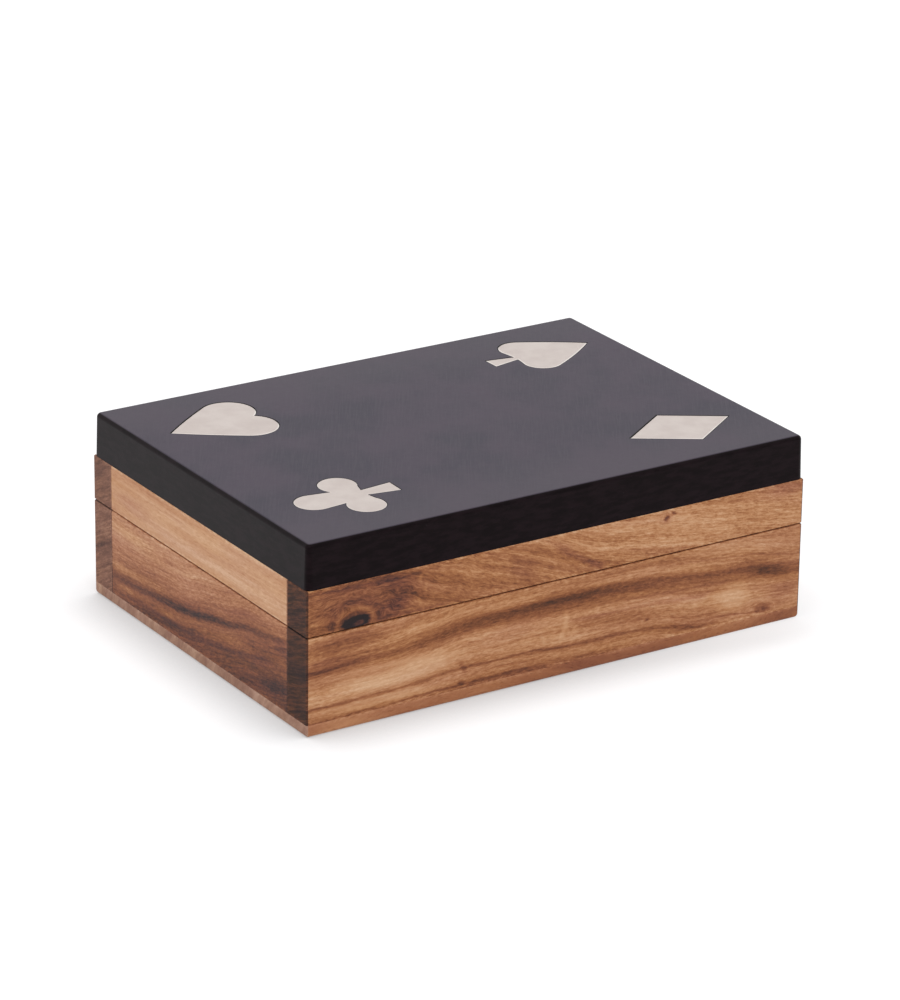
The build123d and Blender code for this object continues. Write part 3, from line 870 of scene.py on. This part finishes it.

# The brink of each pocket is darkened to near black. The top carries hair scratches and a little dust.
pocket_black = (0.0012, 0.0010, 0.0012, 1.0)
scratch_grey = (0.09, 0.08, 0.095, 1.0)
dust_grey = (0.09, 0.08, 0.09, 1.0)
resin_true = resin.put("ShaderNodeNewGeometry").outputs["Normal"]
resin_soft = resin.put("ShaderNodeBevel", {"Radius": 0.0007}, samples=8).outputs[0]
resin_brink = resin.range(resin.vector("DOT_PRODUCT", resin_soft, resin_true), 0.995, 0.93)
resin_far = resin.math("DIVIDE", resin.math("ABSOLUTE", resin_xyz.outputs["X"]), top_half_length)
resin_inside = resin.range(resin.math("MAXIMUM", resin_far, resin_wide), 1.0, 0.99)
resin_line = resin.math("MULTIPLY", resin.math("MULTIPLY", resin_brink, resin_inside), 0.8)
resin_tint = resin.mix(resin_line, resin_tint, pocket_black)
resin_scratch = resin.math("MULTIPLY", resin.range(resin_hairs, 0.70, 0.76), resin_flat)
resin_tint = resin.mix(resin.math("MULTIPLY", resin_scratch, 0.3), resin_tint, scratch_grey)
resin_speck = resin.range(resin_dust.outputs["Distance"], 0.085, 0.05)
resin_speck = resin.math("MULTIPLY", resin_speck, resin.math("MULTIPLY_ADD", resin_flat, 0.25, 0.05))
resin_tint = resin.mix(resin_speck, resin_tint, dust_grey)

# A satin sheen, a little uneven.
side_sheen = (0.93, 0.72, 0.76, 1.0)
top_sheen = (1.0, 0.99, 1.0, 1.0)
resin_rough = resin.math("MULTIPLY_ADD", resin_cloud, 0.12, 0.27)
resin_rough = resin.math("MULTIPLY_ADD", resin_haze, 0.08, resin_rough)
resin_relief = resin.math("MULTIPLY_ADD", resin_grit, 0.5, resin.math("MULTIPLY", resin_haze, 0.8))
resin_sheen = {
    "IOR": 1.42,
    "Specular IOR Level": 0.13,
    "Specular Tint": resin.mix(resin_flat, side_sheen, top_sheen),
}
give("lid_slab", resin.surface(resin_tint, resin_rough, resin_relief, 0.35, 0.00004, resin_sheen))


# ------------------------------------------------------------------------------------ the four suits
# Heart, spade, club and diamond: plates of a pale metal 1.6 mm thick, sawn out, let into pockets in the
# slab and sanded level with it. Their rims are eased and polished, and their metal is painted paler as a
# painted highlight, so a bright line follows each outline.

rim_width = 0.0004
weld_within = 0.000002
level_within = 0.00001
straight_within = math.radians(0.5)


def suit_metal(name, darker, lighter, rough_low, rough_more):
    """Pale metal with the crossing hair lines of fine sanding."""
    w = Wiring(name)
    mm = w.millimetres()
    cloud = w.noise(mm, (9.0, 9.0, 9.0), 2.0, 3.0).outputs[0]
    fine = w.noise(mm, (0.5, 0.5, 0.5), 5.0, 3.0).outputs[0]
    turned = w.put("ShaderNodeMapping", {0: mm, "Rotation": (0.0, 0.0, 0.35)}).outputs[0]
    rubbed = w.noise(turned, (7.0, 0.16, 7.0), 12.0, 2.0).outputs[0]
    crossed = w.noise(mm, (0.2, 9.0, 9.0), 17.0, 2.0).outputs[0]
    lines = w.math("ADD", w.math("MULTIPLY", rubbed, 0.6), w.math("MULTIPLY", crossed, 0.4))
    tint = w.mix(w.range(cloud, 0.3, 0.7), darker, lighter)
    tint = w.mix(w.math("MULTIPLY", w.range(fine, 0.58, 0.75), 0.6), tint, (0.54, 0.47, 0.44, 1.0))
    rough = w.math("MULTIPLY_ADD", lines, rough_more, rough_low)
    return w.surface(tint, rough, lines, 0.4, 0.00002, {"Metallic": 1.0})


sanded_dark = (0.605, 0.525, 0.490, 1.0)
sanded_light = (0.675, 0.600, 0.560, 1.0)
sanded_face = suit_metal("suit_metal_sanded", sanded_dark, sanded_light, 0.26, 0.24)
# The rim's paler metal is a painted highlight; its lower roughness is the polish.
rim_dark_painted_highlight = (0.800, 0.730, 0.690, 1.0)
rim_light_painted_highlight = (0.900, 0.840, 0.800, 1.0)
rim_metal_painted_highlight = suit_metal("suit_metal_rim_painted_highlight", rim_dark_painted_highlight, rim_light_painted_highlight, 0.12, 0.12)

for suit in ("heart", "spade", "club", "diamond"):
    plate_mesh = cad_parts[f"inlay_{suit}"].data.copy()
    plate_mesh.materials.clear()
    sawn = bmesh.new()
    sawn.from_mesh(plate_mesh)
    bmesh.ops.remove_doubles(sawn, verts=sawn.verts, dist=weld_within)
    bmesh.ops.dissolve_limit(sawn, angle_limit=straight_within, verts=sawn.verts, edges=sawn.edges)
    top = max(v.co.z for v in sawn.verts)
    brim = [e for e in sawn.edges if all(v.co.z > top - level_within for v in e.verts)]
    bmesh.ops.bevel(
        sawn,
        geom=brim,
        offset=rim_width,
        segments=2,
        profile=0.5,
        affect="EDGES",
        clamp_overlap=True,
        material=1,
    )
    sawn.to_mesh(plate_mesh)
    sawn.free()
    plate_mesh.materials.append(sanded_face)
    plate_mesh.materials.append(rim_metal_painted_highlight)
    plate = bpy.data.objects.new(f"suit_{suit}", plate_mesh)
    bpy.context.scene.collection.objects.link(plate)
    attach(plate, "lid")
    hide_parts(f"inlay_{suit}")


# ----------------------------------------------------------------------------------- the brass hinges
# Two small butt hinges of drawn brass: leaves let flush into the back rims, five knuckles each, on a
# headed pin. The brass has brown specks and painted brown shade in its corners, and carries fine
# lines from drawing.


def drawn_brass(name, darker, lighter, grain):
    """Brass with painted brown shade in its corners, brown specks and fine lines along it;
    grain = (x, y, z) millimetres.
    """
    w = Wiring(name)
    mm = w.millimetres()
    cloud = w.noise(mm, (4.0, 3.0, 3.0), 3.0, 4.0, 0.6).outputs[0]
    lines = w.noise(mm, grain, 8.0, 2.0).outputs[0]
    spots = w.noise(mm, (0.6, 0.6, 0.6), 14.0, 3.0).outputs[0]
    tint = w.mix(w.range(cloud, 0.30, 0.70), darker, lighter)
    # An occlusion term paints brown shade into corners and crevices; the specks are brown tarnish.
    painted_nook_shade = w.put("ShaderNodeAmbientOcclusion", {"Distance": 0.0007}, samples=8).outputs["AO"]
    speckled = w.math("MULTIPLY", w.range(spots, 0.60, 0.78), 0.4)
    brown = w.math("MAXIMUM", speckled, w.range(painted_nook_shade, 0.85, 0.45))
    tint = w.mix(w.math("MULTIPLY", brown, 0.85), tint, (0.16, 0.09, 0.04, 1.0))
    rough = w.math("MULTIPLY_ADD", brown, 0.3, w.math("MULTIPLY_ADD", lines, 0.22, 0.20))
    return w.surface(tint, rough, lines, 0.4, 0.00002, {"Metallic": 1.0})


leaf_dark = (0.53, 0.36, 0.15, 1.0)
leaf_light = (0.69, 0.50, 0.23, 1.0)
hinge_brass = drawn_brass("hinge_brass", leaf_dark, leaf_light, (12.0, 0.14, 0.14))
for hand in ("left", "right"):
    for piece in ("box_leaf", "lid_leaf", "pin"):
        give(f"{hand}_hinge_{piece}", hinge_brass)


# ---------------------------------------------------------------------------------- the hinge screws
# Eight slotted countersunk brass wood screws, 8 mm long, two through each leaf. One screw is turned here
# and its slot sawn; Geometry Nodes set four for the box and four for the lid, each turned a little.

screw_dark = (0.66, 0.50, 0.26, 1.0)
screw_light = (0.80, 0.64, 0.38, 1.0)
screw_brass = drawn_brass("screw_brass", screw_dark, screw_light, (0.3, 0.3, 2.0))
screw_length = 8.0
screw_head = 1.85
screw_shank = 1.0
screw_root = 0.7
screw_plain = 1.2
screw_point = 1.8
screw_pitch = 0.8
screw_slot = 0.5
screw_sides = 40
rim_in = 0.12
rim_down = 0.10

neck = screw_head - screw_shank + rim_down
thread_start = neck + screw_plain
screw_profile = [(0.0, 0.0), (screw_head - rim_in, 0.0), (screw_head, rim_down)]
screw_profile.append((screw_shank, neck))
screw_profile.append((screw_shank, thread_start))
thread_end = screw_length - screw_point
turns = int((thread_end - thread_start) / screw_pitch)
for turn in range(turns):
    z = thread_start + turn * screw_pitch
    screw_profile.append((screw_root, z + 0.25 * screw_pitch))
    screw_profile.append((screw_root, z + 0.55 * screw_pitch))
    screw_profile.append((screw_shank, z + 0.90 * screw_pitch))
    screw_profile.append((screw_shank, z + 0.99 * screw_pitch))
screw_profile.append((screw_root, thread_start + turns * screw_pitch + 0.25 * screw_pitch))
screw_profile.append((0.0, screw_length))

turned = bmesh.new()
rings = []
for radius, depth in screw_profile:
    ring = []
    for side in range(screw_sides if radius > 0 else 1):
        angle = 2.0 * math.pi * side / screw_sides
        ring.append(turned.verts.new((radius * math.cos(angle), radius * math.sin(angle), -depth)))
    rings.append(ring)
for upper, lower in zip(rings, rings[1:]):
    for side in range(screw_sides):
        after = (side + 1) % screw_sides
        above = [upper[side % len(upper)], upper[after % len(upper)]]
        below = [lower[after % len(lower)], lower[side % len(lower)]]
        turned.faces.new(list(dict.fromkeys(above + below)))
bmesh.ops.recalc_face_normals(turned, faces=turned.faces)
bmesh.ops.scale(turned, vec=(0.001, 0.001, 0.001), verts=turned.verts)
screw_mesh = bpy.data.meshes.new("turned_screw")
turned.to_mesh(screw_mesh)
turned.free()
screw_blank = bpy.data.objects.new("turned_screw", screw_mesh)
bpy.context.scene.collection.objects.link(screw_blank)

saw = bmesh.new()
bmesh.ops.create_cube(saw, size=1.0)
bmesh.ops.scale(saw, vec=(0.005, screw_slot / 1000.0, 2.0 * screw_slot / 1000.0), verts=saw.verts)
saw_mesh = bpy.data.meshes.new("slot_saw")
saw.to_mesh(saw_mesh)
saw.free()
slot_saw = bpy.data.objects.new("slot_saw", saw_mesh)
bpy.context.scene.collection.objects.link(slot_saw)
sawing = screw_blank.modifiers.new("slot", "BOOLEAN")
sawing.operation = "DIFFERENCE"
sawing.object = slot_saw
easing = screw_blank.modifiers.new("burr", "BEVEL")
easing.width = 0.00004
easing.segments = 2
easing.limit_method = "ANGLE"
easing.angle_limit = math.radians(50)
bpy.context.view_layer.update()
screw_seen = screw_blank.evaluated_get(bpy.context.evaluated_depsgraph_get())
screw_done_mesh = bpy.data.meshes.new_from_object(screw_seen)

# Where the thread is narrow the eased edges meet and leave needles of faces, which are cleaned off.
deburred = bmesh.new()
deburred.from_mesh(screw_done_mesh)
bmesh.ops.remove_doubles(deburred, verts=deburred.verts, dist=weld_within)
bmesh.ops.dissolve_degenerate(deburred, edges=deburred.edges, dist=weld_within)
deburred.to_mesh(screw_done_mesh)
deburred.free()
screw_one = bpy.data.objects.new("one_screw", screw_done_mesh)
bpy.context.scene.collection.objects.link(screw_one)
bpy.data.objects.remove(screw_blank)
bpy.data.objects.remove(slot_saw)

screw_tree = bpy.data.node_groups.new("set_of_screws", "GeometryNodeTree")
face = screw_tree.interface
face.new_socket("Geometry", in_out="OUTPUT", socket_type="NodeSocketGeometry")
for title, kind in (
    ("Screw", "NodeSocketObject"),
    ("Metal", "NodeSocketMaterial"),
    ("Hinge distance", "NodeSocketFloat"),
    ("Screw spacing", "NodeSocketFloat"),
    ("Place", "NodeSocketVector"),
    ("Upside down", "NodeSocketFloat"),
    ("Turned at most", "NodeSocketFloat"),
    ("Seed", "NodeSocketInt"),
):
    face.new_socket(title, in_out="INPUT", socket_type=kind)


def step(kind, feeds=None, **settings):
    return put(screw_tree, kind, feeds, **settings)


def pair_across(apart):
    """Two points this far apart along the box, even about the middle."""
    half = step("ShaderNodeMath", {0: apart, 1: 0.5}, operation="MULTIPLY").outputs[0]
    minus_half = step("ShaderNodeMath", {0: half, 1: -1.0}, operation="MULTIPLY").outputs[0]
    feeds = {
        "Count": 2,
        "Start Location": step("ShaderNodeCombineXYZ", {0: minus_half}).outputs[0],
        "Offset": step("ShaderNodeCombineXYZ", {0: half}).outputs[0],
    }
    return step("GeometryNodeMeshLine", feeds, mode="END_POINTS").outputs["Mesh"]


given = step("NodeGroupInput").outputs
feeds = {"Points": pair_across(given["Hinge distance"]), "Instance": pair_across(given["Screw spacing"])}
hinges = step("GeometryNodeInstanceOnPoints", feeds).outputs["Instances"]
places = step("GeometryNodeRealizeInstances", {"Geometry": hinges}).outputs["Geometry"]
feeds = {"Geometry": places, "Offset": given["Place"]}
places = step("GeometryNodeSetPosition", feeds).outputs["Geometry"]
least = step("ShaderNodeMath", {0: given["Turned at most"], 1: -1.0}, operation="MULTIPLY").outputs[0]
feeds = {"Min": least, "Max": given["Turned at most"], "Seed": given["Seed"]}
chance = step("FunctionNodeRandomValue", feeds, data_type="FLOAT").outputs["Value"]
turning = step("ShaderNodeCombineXYZ", {0: given["Upside down"], 2: chance}).outputs[0]
feeds = {"Object": given["Screw"]}
one = step("GeometryNodeObjectInfo", feeds, transform_space="ORIGINAL").outputs["Geometry"]
feeds = {"Points": places, "Instance": one, "Rotation": turning}
driven = step("GeometryNodeInstanceOnPoints", feeds).outputs["Instances"]
made_real = step("GeometryNodeRealizeInstances", {"Geometry": driven}).outputs["Geometry"]
feeds = {"Geometry": made_real, "Material": given["Metal"]}
finished = step("GeometryNodeSetMaterial", feeds).outputs["Geometry"]
step("NodeGroupOutput", {"Geometry": finished})

for body, node, upside_down, seat, seed in (
    ("box", "box_leaf_screws", 0.0, 31.5, 4),
    ("lid", "lid_leaf_screws", math.pi, 31.7, 9),
):
    holder = bpy.data.objects.new(f"{body}_screws", bpy.data.meshes.new(f"{body}_screws"))
    bpy.context.scene.collection.objects.link(holder)
    driving = holder.modifiers.new("screws", "NODES")
    driving.node_group = screw_tree
    sizes = {
        "Screw": screw_one,
        "Metal": screw_brass,
        "Hinge distance": 0.102,
        "Screw spacing": 0.015,
        "Place": (0.0, 0.0592, seat / 1000.0),
        "Upside down": upside_down,
        "Turned at most": 1.1,
        "Seed": seed,
    }
    for item in face.items_tree:
        if item.item_type == "SOCKET" and item.in_out == "INPUT":
            driving[item.identifier] = sizes[item.name]
    bpy.context.view_layer.update()
    holder_seen = holder.evaluated_get(bpy.context.evaluated_depsgraph_get())
    screws_mesh = bpy.data.meshes.new_from_object(holder_seen)
    holder.modifiers.remove(driving)
    holder.data = screws_mesh
    for poly in screws_mesh.polygons:
        poly.use_smooth = False
    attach(holder, body)
    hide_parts(node)
bpy.data.objects.remove(screw_one)
